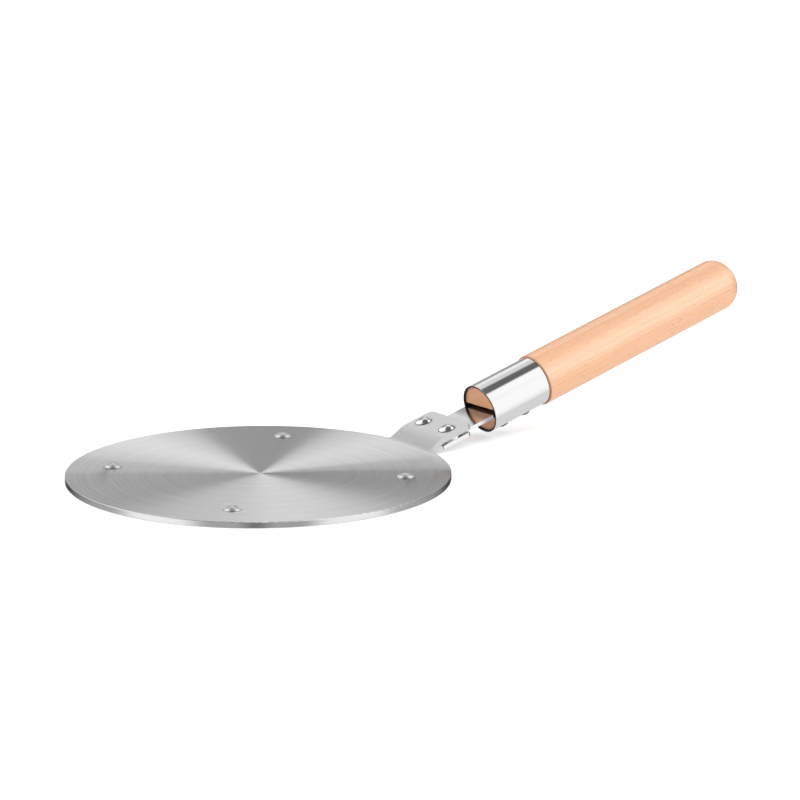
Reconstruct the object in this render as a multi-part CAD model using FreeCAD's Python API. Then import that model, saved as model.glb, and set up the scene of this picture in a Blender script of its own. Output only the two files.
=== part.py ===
import FreeCAD, Part
import math
import os

# A round steel plate on a ferruled beech handle, in millimetres.
#
# The plate is one disc with a tab bent up from its rim. A flat T-shaped tongue hangs under the
# tab on two rivets and two spacers, and its neck runs into a saw slot in the handle's front end.
# A ferrule closes that end, and two screws pin ferrule, wood and tongue together from below.
#
# Frame: the origin is the centre of the plate's underside, +Z is up, and the handle points along
# +X and rises. Left is +Y. Parts of the handle are drawn in the handle's own frame, whose X runs
# along the handle's axis from the ferrule's front edge, and each is then placed once.

Vector = FreeCAD.Vector
ALONG_X = Vector(1, 0, 0)

# Plate
PLATE_RADIUS = 100.0
PLATE_THICKNESS = 3.2
RIM_ROUND = 0.3

# Tab bent up from the plate's rim
TAB_HALF_WIDTH = 17.3
TAB_START_X = 80.0          # where the tab's strip begins, well inside the disc
TAB_ROOT_X = 98.7           # where the strip's top leaves the plate's top
TAB_RISE = 33.5             # degrees, from the root up to the bend
TAB_BEND_RADIUS = 9.0       # inside radius of both bends
TAB_CORNER = 2.5

# Handle axis
HANDLE_SLOPE = 15.67        # degrees above the plate
FERRULE_FRONT_X = 145.75
FERRULE_FRONT_Z = 15.27

# Heights above the handle's axis, square to it
TAB_TOP = 4.0
TAB_BOTTOM = TAB_TOP - PLATE_THICKNESS
TONGUE_TOP = -0.7
TONGUE_THICKNESS = 2.0
TONGUE_BOTTOM = TONGUE_TOP - TONGUE_THICKNESS
SLOT_TOP = 1.1

# Places along the handle's axis, from the ferrule's front edge
TAB_END = -19.2
TONGUE_HEAD_START = -40.3
TONGUE_HEAD_END = -20.5
TAB_RIVETS = (TONGUE_HEAD_START + TONGUE_HEAD_END) / 2
TONGUE_NECK_END = 33.0
WOOD_FRONT = 1.2            # the wood stops short of the ferrule's edge
SLOT_END = 35.0
FERRULE_LENGTH = 38.8
HANDLE_LENGTH = 184.6
SCREW_PLACES = {"front": 11.8, "rear": 27.4}

# Tongue
TONGUE_HEAD_HALF_WIDTH = 17.2
TONGUE_NECK_HALF_WIDTH = 12.2
TONGUE_CORNER = 1.5

# Ferrule and wood
FERRULE_RADIUS = 13.575
FERRULE_WALL = 1.0
FERRULE_LIP_ROUND = 0.25
FERRULE_BORE = FERRULE_RADIUS - FERRULE_WALL
WOOD_RADIUS = 14.5
WOOD_END_CORNER = 11.0      # radius that rounds the handle's far end
WOOD_END_CROWN = 22.0       # radius of the shallow crown inside that rounding
WOOD_SHOULDER_CHAMFER = 0.4

# Rivets and spacers
RIVET_SHANK_RADIUS = 2.5
RIVET_HEAD_RADIUS = 4.75
RIVET_HEAD_HEIGHT = 2.1
RIVET_TAIL_RADIUS = 4.2
RIVET_TAIL_HEIGHT = 1.4
COUNTERSINK_DEPTH = 1.6
PLATE_RIVET_CIRCLE = 76.8
TAB_RIVET_OFFSET = 10.1     # from the middle of the tab, to each side
SPACER_RADIUS = 6.0

# Handle screws, which point up
SCREW_SHANK_RADIUS = 2.0
SCREW_HEAD_RADIUS = 3.8
SCREW_HEAD_SIDE = 0.9       # height of the head's straight side
SCREW_HEAD_CROWN = 1.5      # height of the crown beyond that side
SCREW_POINT_RADIUS = 0.3
SCREW_POINT_LENGTH = 2.5
SCREW_TOP = 9.0
CROSS_WIDTH = 1.0
CROSS_LENGTH = 4.0
CROSS_DEPTH = 1.2

SIDES = {"left": 1, "right": -1}


def handle_frame():
    """The placement that carries the handle's own frame to the plate's."""
    slope = FreeCAD.Rotation(Vector(0, 1, 0), -HANDLE_SLOPE)
    return FreeCAD.Placement(Vector(FERRULE_FRONT_X, 0, FERRULE_FRONT_Z), slope)


def on_handle(shape):
    """Move a shape from the handle's own frame to the plate's."""
    return shape.transformed(handle_frame().toMatrix())


def rod(radius, bottom, top):
    """A cylinder along Z."""
    return Part.makeCylinder(radius, top - bottom, Vector(0, 0, bottom))


def bar(radius, start, end):
    """A cylinder along X."""
    return Part.makeCylinder(radius, end - start, Vector(start, 0, 0), ALONG_X)


def dome(radius, height):
    """A spherical cap that stands on Z = 0."""
    ball_radius = (radius ** 2 + height ** 2) / (2 * height)
    ball = Part.makeSphere(ball_radius, Vector(0, 0, height - ball_radius))
    return ball.common(rod(radius + 1, 0, height + 1))


def joined(first, *others):
    """One solid from solids that touch."""
    return first.fuse(list(others)).removeSplitter().Solids[0]


def rounded_face(corners):
    """A flat face with straight sides. Each corner is a point and the radius that rounds it."""
    starts, arcs, ends = [], [], []
    for index, (corner, radius) in enumerate(corners):
        back = (corners[index - 1][0] - corner).normalize()
        ahead = (corners[(index + 1) % len(corners)][0] - corner).normalize()
        half_angle = back.getAngle(ahead) / 2
        reach = radius / math.tan(half_angle)
        start, end = corner + back * reach, corner + ahead * reach
        if radius:
            inward = (back + ahead).normalize()
            middle = corner + inward * (radius / math.sin(half_angle) - radius)
            arcs.append([Part.Arc(start, middle, end).toShape()])
        else:
            arcs.append([])
        starts.append(start)
        ends.append(end)
    edges = []
    for index, arc in enumerate(arcs):
        edges.append(Part.makeLine(ends[index - 1], starts[index]))
        edges += arc
    return Part.Face(Part.Wire(edges))


def tab_side_view():
    """The tab's cross-section at Y = 0, from inside the disc to its free end."""
    rise = math.tan(math.radians(TAB_RISE))
    slope = math.tan(math.radians(HANDLE_SLOPE))
    end_top = handle_frame().multVec(Vector(TAB_END, 0, TAB_TOP))
    end_bottom = handle_frame().multVec(Vector(TAB_END, 0, TAB_BOTTOM))

    def bend(root, end):
        # Where the line rising from the root meets the line parallel to the handle.
        x = (end.z - root.z + rise * root.x - slope * end.x) / (rise - slope)
        return Vector(x, 0, root.z + rise * (x - root.x))

    root_top = Vector(TAB_ROOT_X, 0, PLATE_THICKNESS)
    # The two faces of a mitred bend meet on the line that halves its angle.
    mitre = PLATE_THICKNESS * math.tan(math.radians(TAB_RISE / 2))
    root_bottom = Vector(TAB_ROOT_X + mitre, 0, 0)
    inside, outside = TAB_BEND_RADIUS, TAB_BEND_RADIUS + PLATE_THICKNESS
    return rounded_face([
        (Vector(TAB_START_X, 0, PLATE_THICKNESS), 0),
        (root_top, inside),
        (bend(root_top, end_top), outside),
        (end_top, 0),
        (end_bottom, 0),
        (bend(root_bottom, end_bottom), inside),
        (root_bottom, outside),
        (Vector(TAB_START_X, 0, 0), 0),
    ])


def make_tab():
    """The bent strip, with its two free corners rounded in plan."""
    strip = tab_side_view().extrude(Vector(0, 2 * TAB_HALF_WIDTH, 0))
    strip.translate(Vector(0, -TAB_HALF_WIDTH, 0))
    start = -FERRULE_FRONT_X
    depth = 2 * FERRULE_FRONT_X
    plan = rounded_face([
        (Vector(start, -TAB_HALF_WIDTH, -depth), 0),
        (Vector(TAB_END, -TAB_HALF_WIDTH, -depth), TAB_CORNER),
        (Vector(TAB_END, TAB_HALF_WIDTH, -depth), TAB_CORNER),
        (Vector(start, TAB_HALF_WIDTH, -depth), 0),
    ])
    return strip.common(on_handle(plan.extrude(Vector(0, 0, 2 * depth))))


def countersink():
    """The cone of a flush rivet tail, from the plate's underside up to the shank."""
    sink_radius = RIVET_SHANK_RADIUS + COUNTERSINK_DEPTH
    return Part.makeCone(sink_radius, RIVET_SHANK_RADIUS, COUNTERSINK_DEPTH)


def plate_rivet_places():
    """Centres of the four plate rivets, on the disc's diagonals."""
    offset = PLATE_RIVET_CIRCLE * math.sqrt(0.5)
    places = {}
    for end, x_sign in (("handle", 1), ("far", -1)):
        for side, y_sign in SIDES.items():
            places[f"{end}_{side}"] = Vector(x_sign * offset, y_sign * offset, 0)
    return places


def at_tab_rivet(shape, side):
    """Place a shape on a tab rivet's axis, which is square to the tab."""
    place = Vector(TAB_RIVETS, SIDES[side] * TAB_RIVET_OFFSET, 0)
    return on_handle(shape.translated(place))


def make_plate():
    """The disc and its tab as one piece, drilled for the six rivets."""
    disc = rod(PLATE_RADIUS, 0, PLATE_THICKNESS)
    rims = [edge for edge in disc.Edges if edge.isClosed()]
    disc = disc.makeFillet(RIM_ROUND, [edge for edge in rims if len(edge.Vertexes) == 1])
    holes = []
    for place in plate_rivet_places().values():
        drilled = rod(RIVET_SHANK_RADIUS, -1, PLATE_THICKNESS + 1)
        holes += [drilled.translated(place), countersink().translated(place)]
    for side in SIDES:
        holes.append(at_tab_rivet(rod(RIVET_SHANK_RADIUS, TAB_BOTTOM - 1, TAB_TOP + 1), side))
    return joined(disc, make_tab()).cut(holes).Solids[0]


def make_plate_rivet(place):
    """A domed rivet with its tail set flush in the plate's underside."""
    head = dome(RIVET_HEAD_RADIUS, RIVET_HEAD_HEIGHT).translated(Vector(0, 0, PLATE_THICKNESS))
    rivet = joined(head, rod(RIVET_SHANK_RADIUS, 0, PLATE_THICKNESS), countersink())
    return rivet.translated(place)


def make_tab_rivet(side):
    """A domed rivet through tab, spacer and tongue, with a low formed tail below."""
    head = dome(RIVET_HEAD_RADIUS, RIVET_HEAD_HEIGHT).translated(Vector(0, 0, TAB_TOP))
    tail = dome(RIVET_TAIL_RADIUS, RIVET_TAIL_HEIGHT)
    tail = tail.rotated(Vector(0, 0, 0), ALONG_X, 180).translated(Vector(0, 0, TONGUE_BOTTOM))
    shank = rod(RIVET_SHANK_RADIUS, TONGUE_BOTTOM, TAB_TOP)
    return at_tab_rivet(joined(head, shank, tail), side)


def make_spacer(side):
    """The washer that keeps the tongue clear of the tab."""
    ring = rod(SPACER_RADIUS, TONGUE_TOP, TAB_BOTTOM)
    return at_tab_rivet(ring.cut(rod(RIVET_SHANK_RADIUS, TONGUE_TOP, TAB_BOTTOM)), side)


def make_tongue():
    """The T-shaped strip: a wide head under the tab and a neck in the handle's slot."""
    outline = []
    for side in SIDES.values():
        half = [
            (Vector(TONGUE_NECK_END, TONGUE_NECK_HALF_WIDTH, 0), TONGUE_CORNER),
            (Vector(TONGUE_HEAD_END, TONGUE_NECK_HALF_WIDTH, 0), TONGUE_CORNER),
            (Vector(TONGUE_HEAD_END, TONGUE_HEAD_HALF_WIDTH, 0), TONGUE_CORNER),
            (Vector(TONGUE_HEAD_START, TONGUE_HEAD_HALF_WIDTH, 0), TONGUE_CORNER),
        ]
        mirrored = [(Vector(corner.x, side * corner.y, 0), radius) for corner, radius in half]
        outline += mirrored[::side]
    tongue = rounded_face(outline).extrude(Vector(0, 0, TONGUE_THICKNESS))
    tongue.translate(Vector(0, 0, TONGUE_BOTTOM))
    for place in SCREW_PLACES.values():
        hole = rod(SCREW_SHANK_RADIUS, TONGUE_BOTTOM - 1, TONGUE_TOP + 1)
        tongue = tongue.cut(hole.translated(Vector(place, 0, 0)))
    tongue = on_handle(tongue)
    for side in SIDES:
        hole = rod(RIVET_SHANK_RADIUS, TONGUE_BOTTOM - 1, TONGUE_TOP + 1)
        tongue = tongue.cut(at_tab_rivet(hole, side))
    return tongue.Solids[0]


def screw_seat():
    """Height of the flat that each screw head sits on, just inside the ferrule's surface."""
    return -math.sqrt(FERRULE_RADIUS ** 2 - SCREW_HEAD_RADIUS ** 2)


def make_ferrule():
    """The thin tube over the handle's front end, flattened and drilled for the screws."""
    tube = bar(FERRULE_RADIUS, 0, FERRULE_LENGTH).cut(bar(FERRULE_BORE, 0, FERRULE_LENGTH))
    lips = [edge for edge in tube.Edges if len(edge.Vertexes) == 1]
    tube = tube.makeFillet(FERRULE_LIP_ROUND, lips)
    for place in SCREW_PLACES.values():
        seat = rod(SCREW_HEAD_RADIUS, -FERRULE_RADIUS - 1, screw_seat())
        hole = rod(SCREW_SHANK_RADIUS, -FERRULE_RADIUS - 1, 0)
        tube = tube.cut(seat.fuse(hole).translated(Vector(place, 0, 0)))
    return on_handle(tube.Solids[0])


def handle_end_profile():
    """The rounded far end in the half-plane above the axis: a corner arc and a crown arc."""
    corner_height = WOOD_RADIUS - WOOD_END_CORNER
    crown_centre = Vector(HANDLE_LENGTH - WOOD_END_CROWN, 0, 0)
    reach = math.sqrt((WOOD_END_CROWN - WOOD_END_CORNER) ** 2 - corner_height ** 2)
    corner_centre = Vector(crown_centre.x + reach, 0, corner_height)

    def arc_point(centre, radius, angle):
        return centre + Vector(math.cos(angle), 0, math.sin(angle)) * radius

    meeting = math.atan2(corner_height, reach)
    corner = [arc_point(corner_centre, WOOD_END_CORNER, angle)
              for angle in (math.pi / 2, (math.pi / 2 + meeting) / 2, meeting)]
    crown = [arc_point(crown_centre, WOOD_END_CROWN, angle)
             for angle in (meeting, meeting / 2, 0)]
    return Part.Arc(*corner).toShape(), Part.Arc(*crown).toShape()


def make_wooden_handle():
    """The turned handle: a spigot in the ferrule, a straight grip and a rounded end."""
    corner_arc, crown_arc = handle_end_profile()
    chamfer = WOOD_SHOULDER_CHAMFER
    profile = Part.makePolygon([
        Vector(HANDLE_LENGTH, 0, 0),
        Vector(WOOD_FRONT, 0, 0),
        Vector(WOOD_FRONT, 0, FERRULE_BORE),
        Vector(FERRULE_LENGTH, 0, FERRULE_BORE),
        Vector(FERRULE_LENGTH, 0, WOOD_RADIUS - chamfer),
        Vector(FERRULE_LENGTH + chamfer, 0, WOOD_RADIUS),
        corner_arc.Vertexes[0].Point,
    ])
    face = Part.Face(Part.Wire(profile.Edges + [corner_arc, crown_arc]))
    wood = face.revolve(Vector(0, 0, 0), ALONG_X, 360)
    slot = Part.makeBox(
        SLOT_END, 2 * WOOD_RADIUS, SLOT_TOP - TONGUE_BOTTOM,
        Vector(0, -WOOD_RADIUS, TONGUE_BOTTOM))
    wood = wood.cut(slot)
    for place in SCREW_PLACES.values():
        wood = wood.cut(screw_shank().translated(Vector(place, 0, 0)))
    return on_handle(wood.Solids[0])


def screw_shank():
    """A screw's body from its head's seat up to its point."""
    shank = rod(SCREW_SHANK_RADIUS, screw_seat(), SCREW_TOP - SCREW_POINT_LENGTH)
    point = Part.makeCone(SCREW_SHANK_RADIUS, SCREW_POINT_RADIUS, SCREW_POINT_LENGTH,
                          Vector(0, 0, SCREW_TOP - SCREW_POINT_LENGTH))
    return shank.fuse(point).removeSplitter()


def make_handle_screw(place):
    """A cross-recessed pan-head screw, driven up from below."""
    head = joined(rod(SCREW_HEAD_RADIUS, 0, SCREW_HEAD_SIDE),
                  dome(SCREW_HEAD_RADIUS, SCREW_HEAD_CROWN).translated(Vector(0, 0, SCREW_HEAD_SIDE)))
    head_height = SCREW_HEAD_SIDE + SCREW_HEAD_CROWN
    for length, width in ((CROSS_LENGTH, CROSS_WIDTH), (CROSS_WIDTH, CROSS_LENGTH)):
        recess = Part.makeBox(length, width, CROSS_DEPTH + 1,
                              Vector(-length / 2, -width / 2, head_height - CROSS_DEPTH))
        head = head.cut(recess)
    head = head.rotated(Vector(0, 0, 0), ALONG_X, 180).translated(Vector(0, 0, screw_seat()))
    screw = joined(head, screw_shank())
    return on_handle(screw.translated(Vector(place, 0, 0)))


def all_parts():
    """Every piece by its node name."""
    parts = {
        "plate": make_plate(),
        "handle_tongue": make_tongue(),
        "ferrule": make_ferrule(),
        "wooden_handle": make_wooden_handle(),
    }
    for name, place in plate_rivet_places().items():
        parts[f"plate_rivet_{name}"] = make_plate_rivet(place)
    for side in SIDES:
        parts[f"tab_rivet_{side}"] = make_tab_rivet(side)
        parts[f"tab_spacer_{side}"] = make_spacer(side)
    for name, place in SCREW_PLACES.items():
        parts[f"handle_screw_{name}"] = make_handle_screw(place)
    return parts


os.makedirs("parts", exist_ok=True)
for node, shape in all_parts().items():
    solid = shape.Solids[0]
    assert len(shape.Solids) == 1 and solid.isValid(), node
    solid.exportStep(f"parts/{node}.step")
    box = solid.BoundBox
    print(f"{node:24s} {solid.Volume:10.1f} mm3  x {box.XMin:.1f}..{box.XMax:.1f}"
          f"  y {box.YMin:.1f}..{box.YMax:.1f}  z {box.ZMin:.1f}..{box.ZMax:.1f}")
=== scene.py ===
import math

import bmesh
import bpy
from mathutils import Matrix, Vector


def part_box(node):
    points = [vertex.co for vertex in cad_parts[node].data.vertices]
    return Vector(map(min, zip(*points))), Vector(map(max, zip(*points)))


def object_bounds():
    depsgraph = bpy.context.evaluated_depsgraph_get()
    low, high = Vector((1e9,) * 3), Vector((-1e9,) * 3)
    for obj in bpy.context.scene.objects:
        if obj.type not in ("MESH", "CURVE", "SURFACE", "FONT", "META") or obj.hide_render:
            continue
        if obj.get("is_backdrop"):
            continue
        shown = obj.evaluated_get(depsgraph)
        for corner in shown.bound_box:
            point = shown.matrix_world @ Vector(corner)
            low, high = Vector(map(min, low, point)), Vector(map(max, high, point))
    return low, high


# A spun steel plate on a ferruled beech handle, on a white studio floor. Lengths are in metres.
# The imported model's frame holds: origin under the plate's centre, +Z up, handle along +X.

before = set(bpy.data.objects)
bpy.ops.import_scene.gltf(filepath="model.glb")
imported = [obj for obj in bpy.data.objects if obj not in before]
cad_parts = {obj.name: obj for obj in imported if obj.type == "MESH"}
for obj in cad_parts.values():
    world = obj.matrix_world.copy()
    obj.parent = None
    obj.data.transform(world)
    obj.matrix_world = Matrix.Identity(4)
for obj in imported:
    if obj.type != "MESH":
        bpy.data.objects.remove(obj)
cad_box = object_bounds()

MM = 0.001

# The plate: its tab rises from TAB_ROOT and is in line with the handle past TAB_BEND
PLATE_THICKNESS = 3.2 * MM
TAB_ROOT = 98.7 * MM
TAB_BEND = 107 * MM

# The radius of a rivet's head, and the middle of one of the four rivets that mirror each other
RIVET_HEAD = 4.75 * MM
PLATE_RIVET = tuple(sum(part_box("plate_rivet_handle_left"), Vector()) / 2)

# The handle's own frame: X along its axis from the ferrule's front edge
HANDLE_SLOPE = math.radians(15.67)
HANDLE_ORIGIN = Vector((145.75, 0, 15.27)) * MM
HANDLE_FRAME = Matrix.Translation(HANDLE_ORIGIN) @ Matrix.Rotation(-HANDLE_SLOPE, 4, "Y")
FERRULE_RADIUS = 13.575 * MM
FERRULE_LENGTH = 38.8 * MM

# How far the tab's two rivets are from the origin of the handle's own frame, along and aside
TAB_RIVET = tuple(Vector((30.4, 10.1, 0)) * MM)

# The viewpoint, which the studio's lights are arranged around
VIEW_AZIMUTH = math.radians(37.18)
VIEW_ELEVATION = math.radians(13.44)
VIEW_DISTANCE = 2.0833
VIEW_ASIDE = 0.0733
VIEW_ABOVE = 0.0371
LENS = 181.1
SENSOR = 36.0
UP = Vector((0, 0, 1))


def view_axes():
    """Unit vectors to the viewer's right, and level straight ahead."""
    right = Vector((math.cos(VIEW_AZIMUTH), -math.sin(VIEW_AZIMUTH), 0))
    ahead = Vector((math.sin(VIEW_AZIMUTH), math.cos(VIEW_AZIMUTH), 0))
    return right, ahead


def grey(level):
    return (level, level, level)


class Graph:
    """Adds nodes to a node tree and links them: a value may be a number or another node's output."""

    def __init__(self, tree):
        self.tree = tree
        tree.nodes.clear()

    def node(self, kind, inputs=None, **settings):
        made = self.tree.nodes.new("ShaderNode" + kind)
        for name, value in settings.items():
            setattr(made, name, value)
        for key, value in (inputs or {}).items():
            self.feed(made.inputs[key], value)
        return made

    def feed(self, socket, value):
        if isinstance(value, bpy.types.NodeSocket):
            self.tree.links.new(value, socket)
        elif isinstance(value, (tuple, list)) and socket.type == "RGBA":
            socket.default_value = (*value, 1.0)[:4]
        else:
            socket.default_value = value

    def math(self, operation, a, b=0.0):
        return self.node("Math", {0: a, 1: b}, operation=operation).outputs[0]

    def product(self, a, b):
        return self.math("MULTIPLY", a, b)

    def vector(self, operation, a, b=(0, 0, 0)):
        made = self.node("VectorMath", {0: a, 1: b}, operation=operation)
        scalar = operation in ("DOT_PRODUCT", "LENGTH")
        return made.outputs["Value" if scalar else "Vector"]

    def stretched(self, vector, factors):
        return self.vector("MULTIPLY", vector, factors)

    def scaled(self, vector, factor):
        return self.node("VectorMath", {0: vector, "Scale": factor}, operation="SCALE").outputs[0]

    def combine(self, x, y, z):
        return self.node("CombineXYZ", {0: x, 1: y, 2: z}).outputs[0]

    def separate(self, vector):
        return self.node("SeparateXYZ", {0: vector}).outputs

    def step(self, value, low, high, start=0.0, end=1.0):
        """A smooth step from start, where the value is low, to end, where it is high."""
        inputs = {"Value": value, 1: low, 2: high, 3: start, 4: end}
        return self.node("MapRange", inputs, interpolation_type="SMOOTHSTEP").outputs[0]

    def mix(self, factor, a, b):
        """A colour between a and b."""
        return self.node("Mix", {0: factor, 6: a, 7: b}, data_type="RGBA").outputs[2]

    def mix_number(self, factor, a, b):
        return self.node("Mix", {0: factor, 2: a, 3: b}, data_type="FLOAT").outputs[0]

    def mix_vector(self, factor, a, b):
        return self.node("Mix", {0: factor, 4: a, 5: b}, data_type="VECTOR").outputs[1]

    def noise(self, vector, scale=1.0, detail=2.0, roughness=0.5):
        inputs = {"Vector": vector, "Scale": scale, "Detail": detail, "Roughness": roughness}
        return self.node("TexNoise", inputs).outputs[0]

    def bump(self, strength, distance, height):
        inputs = {"Strength": strength, "Distance": distance, "Height": height}
        return self.node("Bump", inputs).outputs[0]

    def place(self):
        """The point on the object, in the model's frame."""
        return self.node("TexCoord").outputs["Object"]

    def normal(self):
        return self.node("NewGeometry").outputs["Normal"]


def new_material(name):
    material = bpy.data.materials.new(name)
    material.use_nodes = True
    return material, Graph(material.node_tree)


def finish_surface(graph, shader_inputs):
    """Add a material's one shader and its output."""
    shader = graph.node("BsdfPrincipled", shader_inputs)
    graph.node("OutputMaterial", {0: shader.outputs[0]})


# Plate: the centre that it was spun about, a little off the middle of the disc
SPUN_ABOUT = (-1 * MM, -3 * MM, 0.0)

# Plate: fine rings, broader bands, and lines brushed across the tab, in noise cells per metre
RINGS_PER_METRE = 2500.0
BANDS_PER_METRE = 380.0
TAB_LINES = (5000.0, 80.0, 5000.0)

# Plate: each turned groove has a broad flank that leans out and a steep one that leans in
OUTER_LEAN = 0.2
INNER_LEAN = 1.2
STEEP_SHARE = 0.4

# Plate: where the finish changes along the tab, where painted shade lies on the rise between its
# bends, how squarely a surface faces a side to be on it, and how wide the painted shade round each
# rivet is
TAB_FROM = (TAB_ROOT - 4 * MM, TAB_ROOT + 4 * MM)
RISE_FROM = (TAB_ROOT - 5 * MM, TAB_ROOT + 3 * MM)
RISE_TO = (TAB_ROOT + 4 * MM, TAB_BEND + 3 * MM)
FACING = (0.6, 0.8)
CREVICE_SHADE_WIDTH = 0.8 * MM

# Plate: its colours, with painted shade on the rise and round the rivets, and how much its rim still
# mirrors at a grazing angle
DARK_RING = (0.85, 0.85, 0.855)
LIGHT_RING = grey(0.92)
BAND_STEEL = grey(0.60)
TAB_DARK_LINE = grey(0.92)
TAB_LIGHT_LINE = grey(0.99)
TAB_SIDE = grey(0.97)
RISE_SHADE = (0.60, 0.60, 0.605)
CREVICE_SHADE = grey(0.30)
RIM_GRAZING = grey(0.1)


def rivet_reach(graph, place, centre):
    """Distance from the nearest of the rivets that mirror the one at centre."""
    offset = graph.vector("SUBTRACT", graph.vector("ABSOLUTE", place), centre)
    return graph.vector("LENGTH", graph.stretched(offset, (1, 1, 0)))


def plate_regions(graph, place, normal):
    """Shares from 0 to 1 of the level disc, the tab, its sides and the rise between its bends."""
    along = graph.separate(place)[0]
    _, sideways, upward = graph.separate(normal)
    on_tab = graph.step(along, *TAB_FROM)
    level = graph.step(graph.math("ABSOLUTE", upward), *FACING)
    on_side = graph.step(graph.math("ABSOLUTE", sideways), *FACING)
    return {
        "disc": graph.product(level, graph.math("SUBTRACT", 1.0, on_tab)),
        "tab": on_tab,
        "tab_side": graph.product(on_tab, on_side),
        "rise": graph.math("SUBTRACT", graph.step(along, *RISE_FROM), graph.step(along, *RISE_TO)),
    }


def plate_colour(graph, place, radius, grooves, tab_lines, regions):
    """Rings and bands on the disc and lines on the tab, with painted shade round the rivets and on
    the rise.
    """
    steel = graph.mix(grooves, DARK_RING, LIGHT_RING)
    outwards = graph.combine(graph.product(radius, BANDS_PER_METRE), 0.0, 0.0)
    bands = graph.noise(outwards, detail=3.0, roughness=0.6)
    steel = graph.mix(graph.step(bands, 0.35, 0.65, 0.0, 0.24), steel, BAND_STEEL)
    steel = graph.mix(regions["tab"], steel, graph.mix(tab_lines, TAB_DARK_LINE, TAB_LIGHT_LINE))
    reach = rivet_reach(graph, place, PLATE_RIVET)
    # Painted shade round each rivet's head on the disc
    rivet_shade = graph.step(reach, RIVET_HEAD, RIVET_HEAD + CREVICE_SHADE_WIDTH, 0.3, 0.0)
    steel = graph.mix(graph.product(rivet_shade, regions["disc"]), steel, CREVICE_SHADE)
    # Painted shade on the rise between the tab's bends
    steel = graph.mix(regions["rise"], steel, RISE_SHADE)
    return graph.mix(regions["tab_side"], steel, TAB_SIDE)


def plate_roughness(graph, grooves, tab_lines, regions):
    """Polished on the disc and the rim, duller on the tab."""
    polish = graph.step(grooves, 0.3, 0.7, 0.235, 0.265)
    tab_polish = graph.step(tab_lines, 0.3, 0.7, 0.38, 0.46)
    roughness = graph.mix_number(regions["tab"], polish, tab_polish)
    return graph.mix_number(regions["tab_side"], roughness, 0.38)


def plate_material():
    """Steel spun in fine circles on the disc, turned on the rim and brushed across on the tab."""
    material, graph = new_material("plate_steel")
    place = graph.place()
    normal = graph.normal()
    x, y, _ = graph.separate(graph.vector("SUBTRACT", place, SPUN_ABOUT))
    from_centre = graph.combine(x, y, 0.0)
    radius = graph.vector("LENGTH", from_centre)
    outward = graph.vector("NORMALIZE", from_centre)
    regions = plate_regions(graph, place, normal)

    turn = graph.math("ARCTAN2", y, x)
    grooves = graph.noise(graph.combine(graph.product(radius, RINGS_PER_METRE), turn, 0.0))
    tab_lines = graph.noise(graph.stretched(place, TAB_LINES), detail=3.0, roughness=0.6)
    spread = graph.mix_vector(regions["disc"], (0.0, 0.0, 1.0), outward)
    spread = graph.mix_vector(regions["tab"], spread, (1.0, 0.0, 0.0))
    off_rim = graph.math("MAXIMUM", regions["disc"], regions["tab"])
    finish = {
        "Base Color": plate_colour(graph, place, radius, grooves, tab_lines, regions),
        "Metallic": 1.0,
        "Specular Tint": graph.mix(off_rim, RIM_GRAZING, grey(1.0)),
        "Roughness": plate_roughness(graph, grooves, tab_lines, regions),
        "Anisotropic": 0.9,
        "Tangent": spread,
    }

    def flank(tilt):
        """One flank of the turned grooves, which leans outward by tilt."""
        lean = graph.scaled(outward, graph.product(regions["disc"], tilt))
        leaning = graph.vector("NORMALIZE", graph.vector("ADD", normal, lean))
        bump = graph.node("Bump", {
            "Strength": 0.04, "Distance": 0.02 * MM, "Height": grooves, "Normal": leaning})
        return graph.node("BsdfPrincipled", {**finish, "Normal": bump.outputs[0]}).outputs[0]

    both = graph.node("MixShader", {0: STEEP_SHARE, 1: flank(OUTER_LEAN), 2: flank(-INNER_LEAN)})
    graph.node("OutputMaterial", {0: both.outputs[0]})
    return material


# Rivets and screws: cells of wear per metre, and the ring of painted shade where a rivet's head
# meets its seat
WEAR_SCALE = 900.0
SEAT_RING = (RIVET_HEAD - 0.55 * MM, RIVET_HEAD - 0.15 * MM)
TAB_SEAT_SHADE = grey(0.06)
PLATE_SEAT_SHADE = grey(0.35)


def handle_place(graph):
    """The point in the handle's own frame."""
    inverse = HANDLE_FRAME.inverted()
    return graph.node("Mapping", {
        "Vector": graph.place(),
        "Location": inverse.translation,
        "Rotation": inverse.to_euler(),
    }).outputs[0]


def facing_plate(graph):
    """How squarely the surface faces along the handle towards the plate, from -1 to 1."""
    towards_plate = HANDLE_FRAME.to_3x3() @ Vector((-1, 0, 0))
    return graph.vector("DOT_PRODUCT", graph.normal(), tuple(towards_plate))


def plain_steel(name, level, roughness, seat=None):
    """Bright steel with faint wear in its polish. A rivet's head has painted shade round its seat.
    """
    material, graph = new_material(name)
    wear = graph.noise(graph.place(), WEAR_SCALE, 4.0, 0.6)
    colour = graph.mix(wear, grey(level * 0.96), grey(level))
    # Painted shade round the head where it meets its seat
    if seat == PLATE_RIVET:
        edge = rivet_reach(graph, graph.place(), seat)
        colour = graph.mix(graph.step(edge, *SEAT_RING), colour, PLATE_SEAT_SHADE)
    if seat == TAB_RIVET:
        edge = rivet_reach(graph, handle_place(graph), seat)
        colour = graph.mix(graph.step(edge, *SEAT_RING), colour, TAB_SEAT_SHADE)
    finish_surface(graph, {
        "Base Color": colour,
        "Metallic": 1.0,
        "Roughness": graph.step(wear, 0.3, 0.7, roughness, roughness * 1.3),
    })
    return material


# Tongue: its colours, its scratches, and where along the handle painted shade darkens it
DARK_SCRATCH = (0.92, 0.92, 0.93)
LIGHT_SCRATCH = (0.98, 0.98, 0.985)
TONGUE_SHADE = (0.36, 0.37, 0.40)
TONGUE_SHADE_FROM = (-11 * MM, -4 * MM)
SCRATCHES = (90.0, 6000.0, 6000.0)


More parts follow.
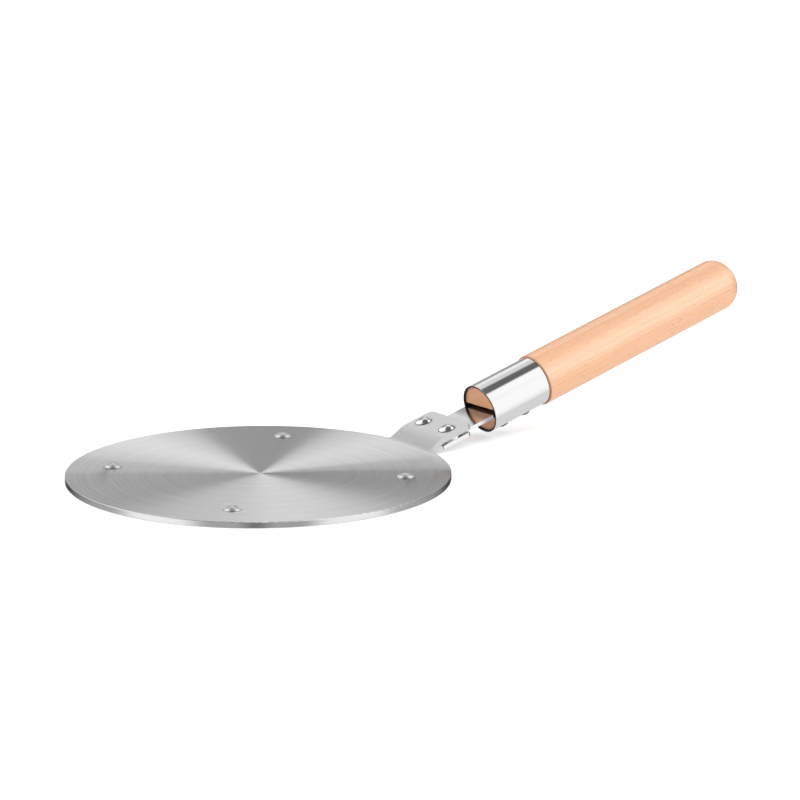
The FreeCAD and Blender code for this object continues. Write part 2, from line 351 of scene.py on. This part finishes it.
def tongue_material():
    """Bright rolled strip with fine scratches along it, with painted shade where it meets the
    ferrule.
    """
    material, graph = new_material("tongue_steel")
    place = handle_place(graph)
    scratches = graph.noise(graph.stretched(place, SCRATCHES), detail=3.0, roughness=0.6)
    clouds = graph.noise(place, 300.0, 3.0)
    # Painted shade on the tongue towards the ferrule
    ferrule_shade = graph.step(graph.separate(place)[0], *TONGUE_SHADE_FROM, 0.0, 0.9)
    bright = graph.mix(scratches, DARK_SCRATCH, LIGHT_SCRATCH)
    finish_surface(graph, {
        "Base Color": graph.mix(ferrule_shade, bright, TONGUE_SHADE),
        "Metallic": 1.0,
        "Roughness": graph.step(clouds, 0.3, 0.7, 0.13, 0.18),
        "Normal": graph.bump(0.08, 0.01 * MM, scratches),
    })
    return material


# Ferrule: its colours, its hairlines, and where painted shade darkens its inside and its rear edge
CHROME = (0.95, 0.95, 0.955)
FERRULE_EDGE_SHADE = (0.055, 0.046, 0.042)
HAIRLINES = (9000.0, 220.0, 220.0)
INSIDE = (FERRULE_RADIUS - 0.6 * MM, FERRULE_RADIUS - 0.3 * MM)
REAR_EDGE = (FERRULE_LENGTH - 0.6 * MM, FERRULE_LENGTH - 0.3 * MM)


def ferrule_material():
    """Chromed tube: a mirror with hairlines round it, with painted shade inside and on the edges it
    was cut at.
    """
    material, graph = new_material("ferrule_steel")
    place = handle_place(graph)
    radius = graph.vector("LENGTH", graph.stretched(place, (0.0, 1.0, 1.0)))
    # Painted shade on the cut edges, inside the tube and at its rear edge, which are also rougher
    edge_shade = graph.step(graph.math("ABSOLUTE", facing_plate(graph)), 0.35, 0.8)
    edge_shade = graph.math("MAXIMUM", edge_shade, graph.step(radius, *INSIDE, 1.0, 0.0))
    edge_shade = graph.math("MAXIMUM", edge_shade, graph.step(graph.separate(place)[0], *REAR_EDGE))
    hairlines = graph.noise(graph.stretched(place, HAIRLINES), roughness=0.6)
    smudges = graph.noise(place, 160.0)
    polish = graph.math("ADD", graph.step(hairlines, 0.35, 0.75, 0.03, 0.08),
                        graph.step(smudges, 0.45, 0.75, 0.0, 0.03))
    finish_surface(graph, {
        "Base Color": graph.mix(edge_shade, CHROME, FERRULE_EDGE_SHADE),
        "Metallic": 1.0,
        "Roughness": graph.mix_number(edge_shade, polish, 0.45),
        "Normal": graph.bump(0.04, 0.01 * MM, hairlines),
    })
    return material


# Beech: growth rings round a pith outside the handle, and streaks, flecks and pores. The ALONG
# factors stretch them along the grain.
PITH = (0.0, -24 * MM, 31 * MM)
RING_SPACING = 2.2 * MM
RING_WANDER = 2.2
ALONG_STREAKS = (0.05, 1.0, 1.0)
ALONG_FLECKS = (0.22, 1.0, 1.0)
ALONG_PORES = (0.04, 1.0, 1.0)
SAW_MARKS = (1.0, 260.0, 1500.0)
LIGHT_BEECH = (0.80, 0.45, 0.255)
DARK_BEECH = (0.72, 0.365, 0.185)
# The brown of the flecks, which also serves as the painted shade on the end below the slot
FLECK_AND_SHADE_BROWN = (0.48, 0.19, 0.11)
END_GRAIN = (0.76, 0.375, 0.18)
# The painted shadow line where the grip meets the ferrule
JOINT_SHADE = (0.07, 0.04, 0.03)
JOINT_FROM = (FERRULE_LENGTH - 0.1 * MM, FERRULE_LENGTH)
JOINT_TO = (FERRULE_LENGTH + 0.25 * MM, FERRULE_LENGTH + 0.65 * MM)
# Where painted shade darkens the end grain below the slot
SHADE_BELOW_SLOT = (-5 * MM, 1 * MM)


def growth_rings(graph, place):
    """The late wood of each growth ring, from 0 to 1."""
    wander = graph.noise(graph.stretched(place, ALONG_STREAKS), 70.0)
    from_pith = graph.stretched(graph.vector("SUBTRACT", place, PITH), (0.0, 1.0, 1.0))
    reach = graph.math("DIVIDE", graph.vector("LENGTH", from_pith), RING_SPACING)
    rings = graph.math("ADD", reach, graph.product(wander, RING_WANDER))
    return graph.step(graph.math("FRACT", rings), 0.25, 0.95)


def grip_colour(graph, place, tone, flecks, pores):
    """Beech seen along the grain, with a painted shadow line at its joint with the ferrule."""
    side = graph.mix(graph.step(tone, 0.2, 0.8), DARK_BEECH, LIGHT_BEECH)
    side = graph.mix(graph.product(flecks, 0.5), side, FLECK_AND_SHADE_BROWN)
    side = graph.mix(graph.product(pores, 0.16), side, FLECK_AND_SHADE_BROWN)
    along = graph.separate(place)[0]
    joint_shade = graph.product(graph.step(along, *JOINT_TO, 0.85, 0.0), graph.step(along, *JOINT_FROM))
    return graph.mix(joint_shade, side, JOINT_SHADE)


def end_colour(graph, place, tone):
    """Sawn end grain, with painted shade below the slot."""
    sawn = graph.noise(graph.stretched(place, SAW_MARKS), detail=3.0, roughness=0.7)
    end = graph.mix(graph.step(tone, 0.2, 0.8, 0.75, 1.0), FLECK_AND_SHADE_BROWN, END_GRAIN)
    end = graph.mix(graph.step(sawn, 0.45, 0.8, 0.0, 0.4), end, FLECK_AND_SHADE_BROWN)
    # Painted shade below the slot
    return graph.mix(graph.step(graph.separate(place)[2], *SHADE_BELOW_SLOT, 0.6, 0.0), end, FLECK_AND_SHADE_BROWN)


def wood_material():
    """Light beech with fine flecks along the grain, under a satin finish."""
    material, graph = new_material("beech")
    place = handle_place(graph)
    streaks = graph.noise(graph.stretched(place, ALONG_STREAKS), 900.0, 3.0, 0.65)
    fleck_noise = graph.noise(graph.stretched(place, ALONG_FLECKS), 1500.0, 1.0, 0.4)
    flecks = graph.step(fleck_noise, 0.64, 0.74)
    pore_noise = graph.noise(graph.stretched(place, ALONG_PORES), 5200.0, 1.0)
    pores = graph.step(pore_noise, 0.6, 0.72)
    at_end = graph.step(facing_plate(graph), 0.5, 0.9)
    early_wood = graph.math("SUBTRACT", 1.0, growth_rings(graph, place))
    tone = graph.mix_number(0.16, streaks, early_wood)
    side = grip_colour(graph, place, tone, flecks, pores)
    pits = graph.math("ADD", flecks, pores)
    relief = graph.math("SUBTRACT", graph.product(streaks, 0.4), pits)
    satin = graph.step(streaks, 0.2, 0.8, 0.31, 0.40)
    finish_surface(graph, {
        "Base Color": graph.mix(at_end, side, end_colour(graph, place, tone)),
        "Roughness": graph.mix_number(at_end, satin, 0.8),
        "Specular IOR Level": 1.0,
        "Coat Weight": 0.45,
        "Coat Roughness": 0.3,
        "Normal": graph.bump(0.25, 0.03 * MM, relief),
    })
    return material


# The studio that the steel mirrors: soft panels in a grey room, the same on the left and the right.
# Each has its turns from the viewer and its heights, in degrees from and to, and its brightness.
# Turns below 0 or above 180 only keep a panel's soft edge away from there.
ROOM = 0.68
PANELS = {
    "behind_viewer": ((-30, 10), (-60, 90), 0.15),
    "beside_viewer": ((10, 38), (-60, 90), 0.4),
    "white_wall": ((38, 84), (-60, 90), 1.0),
    "over_viewer": ((-30, 58), (28, 90), 0.3),
    "bright_wall": ((84, 140), (14, 90), 1.5),
    "wall_foot": ((84, 158), (-14, 2), 0.1),
    "corner": ((138, 162), (28, 46), 0.1),
    "backdrop_band": ((171, 210), (10, 28), 0.0),
    "backdrop": ((176, 210), (28, 46), 2.0),
    "backdrop_foot": ((176, 210), (-30, 4), 0.15),
}
TURN_EDGE = 10
HEIGHT_EDGE = 6
CEILING = 0.13
CEILING_FROM = (63, 71)

# What lights everything that isn't a mirror, and what the viewer sees behind the object
TENT = 1.2
BEHIND = 1.0

FLOOR_WHITE = grey(0.95)
FLOOR_WASH = 1.0
FLOOR_REACH = 6.0
FLOOR_GAP = 0.1 * MM


def soft_window(graph, value, ends, edge):
    """1 where the value lies between the two ends and 0 outside them, with soft edges."""
    low, high = ends
    above = graph.step(value, low - edge, low + edge)
    below = graph.step(value, high - edge, high + edge, 1.0, 0.0)
    return graph.product(above, below)


def studio_room(graph):
    """The brightness of the mirrored room in each direction."""
    direction = graph.node("TexCoord").outputs["Generated"]
    right, ahead = view_axes()
    across = graph.vector("DOT_PRODUCT", direction, tuple(right))
    towards = graph.vector("DOT_PRODUCT", direction, tuple(-ahead))
    turn = graph.math("ABSOLUTE", graph.math("ARCTAN2", across, towards))
    turn = graph.math("DEGREES", turn)
    height = graph.math("DEGREES", graph.math("ARCSINE", graph.separate(direction)[2]))
    room = grey(ROOM)
    for turns, heights, level in PANELS.values():
        in_turn = soft_window(graph, turn, turns, TURN_EDGE)
        in_height = soft_window(graph, height, heights, HEIGHT_EDGE)
        room = graph.mix(graph.product(in_turn, in_height), room, grey(level))
    return graph.mix(graph.step(height, *CEILING_FROM), room, grey(CEILING))


def make_world():
    """The room for mirrors, an even white light for everything else, and white for the viewer."""
    world = bpy.data.worlds.new("studio")
    bpy.context.scene.world = world
    world.use_nodes = True
    graph = Graph(world.node_tree)
    path = graph.node("LightPath").outputs
    light = graph.mix(path["Is Diffuse Ray"], studio_room(graph), grey(TENT))
    light = graph.mix(path["Is Camera Ray"], light, grey(BEHIND))
    background = graph.node("Background", {"Color": light, "Strength": 1.0})
    graph.node("OutputWorld", {0: background.outputs[0]})


def floor_material():
    """White on top and clear from beneath."""
    material, graph = new_material("white_floor")
    white = graph.node("BsdfDiffuse", {"Color": FLOOR_WHITE}).outputs[0]
    clear = graph.node("BsdfTransparent").outputs[0]
    underneath = graph.node("NewGeometry").outputs["Backfacing"]
    sheet = graph.node("MixShader", {0: underneath, 1: white, 2: clear})
    graph.node("OutputMaterial", {0: sheet.outputs[0]})
    return material


def make_floor():
    """A plain floor just under the plate, larger than the view, which mirrors don't show."""
    mesh = bpy.data.meshes.new("floor")
    built = bmesh.new()
    bmesh.ops.create_grid(built, x_segments=8, y_segments=8, size=FLOOR_REACH)
    built.to_mesh(mesh)
    built.free()
    mesh.materials.append(floor_material())
    floor = bpy.data.objects.new("floor", mesh)
    bpy.context.scene.collection.objects.link(floor)
    floor.location.z = -FLOOR_GAP
    floor.visible_glossy = False
    floor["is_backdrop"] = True
    return floor


def add_light(name, kind, strength, lit):
    """A light that lights only the objects in lit."""
    lamp = bpy.data.lights.new(name, kind)
    lamp.energy = strength
    light = bpy.data.objects.new(name, lamp)
    bpy.context.scene.collection.objects.link(light)
    group = bpy.data.collections.new(name + "_lit")
    for thing in lit:
        group.objects.link(thing)
    light.light_linking.receiver_collection = group
    return light


def wash_floor(floor):
    """An even light on the floor alone, in which the object throws no shadow."""
    light = add_light("floor_wash", "SUN", FLOOR_WASH, [floor])
    light.light_linking.blocker_collection = light.light_linking.receiver_collection


def add_softbox(name, place, size, power, lit, mirrored):
    """A square soft light aimed at the object's middle, which is only mirrored or only diffuse.

    Its place is how far it stands to the viewer's right, straight ahead of the viewer, and up.
    """
    right, ahead = view_axes()
    aside, onward, up = place
    light = add_light(name, "AREA", power, [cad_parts[node] for node in lit])
    light.data.size = size
    light.location = right * aside + ahead * onward + UP * up
    aim = Vector((0.08, 0, 0.03))
    light.rotation_euler = (aim - light.location).to_track_quat("-Z", "Y").to_euler()
    light.visible_glossy = mirrored
    light.visible_diffuse = not mirrored


def make_camera():
    right, ahead = view_axes()
    looking = ahead * math.cos(VIEW_ELEVATION) - UP * math.sin(VIEW_ELEVATION)
    above = ahead * math.sin(VIEW_ELEVATION) + UP * math.cos(VIEW_ELEVATION)
    middle = Vector((0, 0, PLATE_THICKNESS))
    place = middle + right * VIEW_ASIDE + above * VIEW_ABOVE - looking * VIEW_DISTANCE
    lens = bpy.data.cameras.new("camera")
    lens.lens = LENS
    lens.sensor_width = SENSOR
    lens.clip_start = 0.05
    lens.clip_end = 50.0
    camera = bpy.data.objects.new("camera", lens)
    turned = Matrix((right, above, -looking)).transposed().to_4x4()
    camera.matrix_world = Matrix.Translation(place) @ turned
    bpy.context.scene.collection.objects.link(camera)
    bpy.context.scene.camera = camera


def finish_node(name, material):
    """Give a CAD node its finish."""
    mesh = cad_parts[name].data
    mesh.materials.clear()
    mesh.materials.append(material)


def finish_nodes():
    """Give every CAD node its finish."""
    tongue_steel = tongue_material()
    finishes = {
        "tab_rivet": plain_steel("tab_rivet_steel", 0.8, 0.12, TAB_RIVET),
        "plate_rivet": plain_steel("plate_rivet_steel", 0.74, 0.32, PLATE_RIVET),
        "tab_spacer": tongue_steel,
        "handle_tongue": tongue_steel,
        "handle_screw": plain_steel("screw_steel", 0.12, 0.25),
        "ferrule": ferrule_material(),
        "wooden_handle": wood_material(),
    }
    finish_node("plate", plate_material())
    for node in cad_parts:
        for start, material in finishes.items():
            if node.startswith(start):
                finish_node(node, material)


make_camera()
make_world()
wash_floor(make_floor())
add_softbox("key", (-0.9, -0.9, 1.3), 1.0, 4.0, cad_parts, mirrored=False)
add_softbox("grip_light", (1.37, -0.42, 0.8), 1.6, 11.0, ["wooden_handle"], mirrored=True)
finish_nodes()

bpy.context.scene.view_settings.view_transform = "Standard"
boxes = {"cad": cad_box, "visual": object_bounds()}
boxes = {name: [list(corner) for corner in box] for name, box in boxes.items()}
